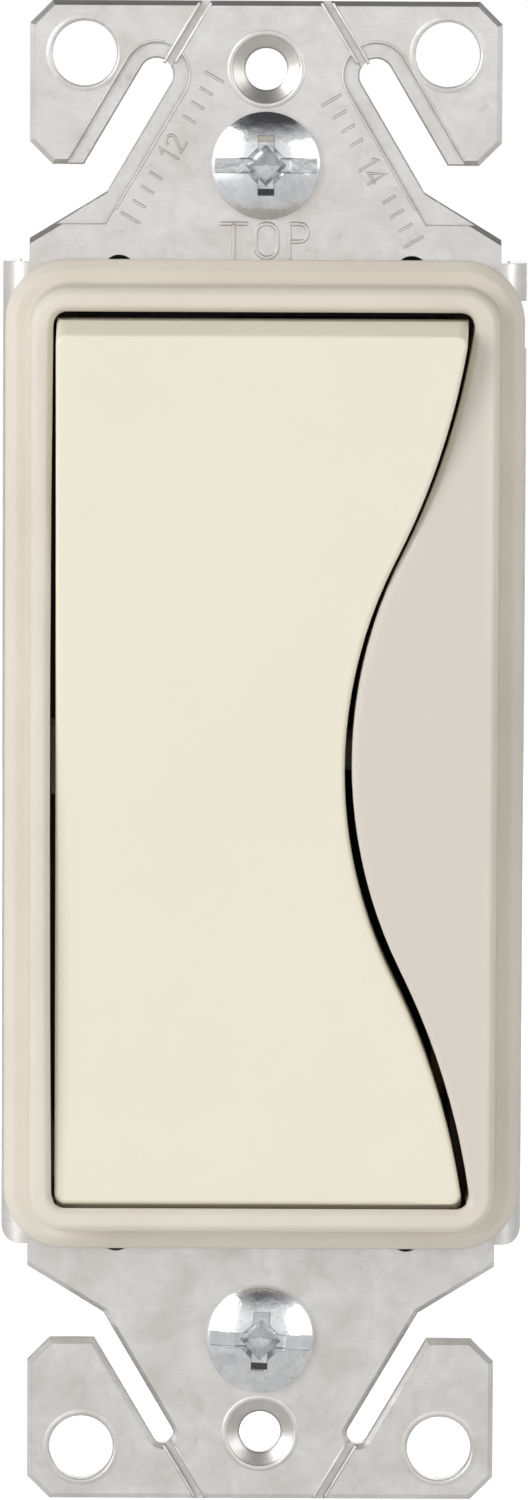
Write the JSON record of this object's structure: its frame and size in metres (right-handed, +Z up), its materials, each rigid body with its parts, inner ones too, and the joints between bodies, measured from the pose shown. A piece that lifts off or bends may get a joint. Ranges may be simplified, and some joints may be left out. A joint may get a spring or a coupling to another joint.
{
  "type": "rocker wall switch",
  "caption": "Flush-mounting wall switch with a concave rocker and an S-curved side panel in a raised frame, on a steel strap with plaster ears, over a closed mechanism body.",
  "frame": {"origin": "middle of the back face of the mounting strap, on the wall plane, between the two screw pairs", "axes": "+Z up, +X to the right across the face, -Y out of the wall towards the user"},
  "size_m": [0.037, 0.036, 0.1064],
  "materials": {
    "strap_steel": "galvanised sheet, faintly mottled",
    "frame_plastic": "satin moulded, warm off-white",
    "rocker_plastic": "satin moulded, ivory",
    "body_plastic": "dark moulded thermoset",
    "plunger_plastic": "natural nylon",
    "spring_steel": "drawn wire",
    "brass": "rolled strip",
    "contact_silver": "silver alloy button",
    "screw_brass": "plated screw",
    "clamp_steel": "zinc-plated plate",
    "ground_green": "green dyed screw",
    "screw_zinc": "bright zinc plate",
    "fibre": "vulcanised fibre",
    "rivet_steel": "tubular rivet"
  },
  "bodies": {
    "housing": {"mounting_strap": "strap_steel", "front_frame": "frame_plastic", "back_body": "body_plastic", "body_rivets": "rivet_steel", "fixed_contact": "contact_silver", "line_terminal": "brass", "load_terminal": "brass", "screw_retainer_top": "fibre", "screw_retainer_bottom": "fibre"},
    "rocker": {"rocker": "rocker_plastic", "plunger_spring": "spring_steel"},
    "plunger": {"plunger": "plunger_plastic"},
    "cradle": {"contact_cradle": "brass", "moving_contact": "contact_silver"},
    "line_clamp": {"line_clamp_plate": "clamp_steel", "line_terminal_screw": "screw_brass"},
    "load_clamp": {"load_clamp_plate": "clamp_steel", "load_terminal_screw": "screw_brass"},
    "ground_screw": {"ground_screw": "ground_green"},
    "mounting_screw_top": {"mounting_screw_top": "screw_zinc"},
    "mounting_screw_bottom": {"mounting_screw_bottom": "screw_zinc"}
  },
  "joints": [
    {"name": "rocker_tilt", "type": "hinge", "parent": "housing", "child": "rocker", "pos_m": [0, 0.00458, 0], "axis": [-1, 0, 0], "range_deg": [0, 6]},
    {"name": "cradle_rock", "type": "hinge", "parent": "housing", "child": "cradle", "pos_m": [0, 0.0166, 0], "axis": [1, 0, 0], "range_deg": [0, 8.4]},
    {"name": "plunger_slide", "type": "slide", "parent": "rocker", "child": "plunger", "axis": [0, -0.9986, -0.0523], "range_m": [0, 0.0008], "stiffness_N_per_m": 400, "deforming": ["plunger_spring"]},
    {"name": "line_clamp_slide", "type": "slide", "parent": "housing", "child": "line_clamp", "axis": [1, 0, 0], "range_m": [0, 0.002]},
    {"name": "load_clamp_slide", "type": "slide", "parent": "housing", "child": "load_clamp", "axis": [1, 0, 0], "range_m": [0, 0.002]},
    {"name": "ground_screw_slide", "type": "slide", "parent": "housing", "child": "ground_screw", "axis": [0, 0, -1], "range_m": [0, 0.002]},
    {"name": "mounting_screw_top_turn", "type": "hinge", "parent": "housing", "child": "mounting_screw_top", "pos_m": [0, 0, 0.04167], "axis": [0, 1, 0], "continuous": true},
    {"name": "mounting_screw_bottom_turn", "type": "hinge", "parent": "housing", "child": "mounting_screw_bottom", "pos_m": [0, 0, -0.04167], "axis": [0, 1, 0], "continuous": true}
  ],
  "couplings": [
    {"joint": "cradle_rock", "follows": "rocker_tilt", "ratio": 1.4}
  ]
}
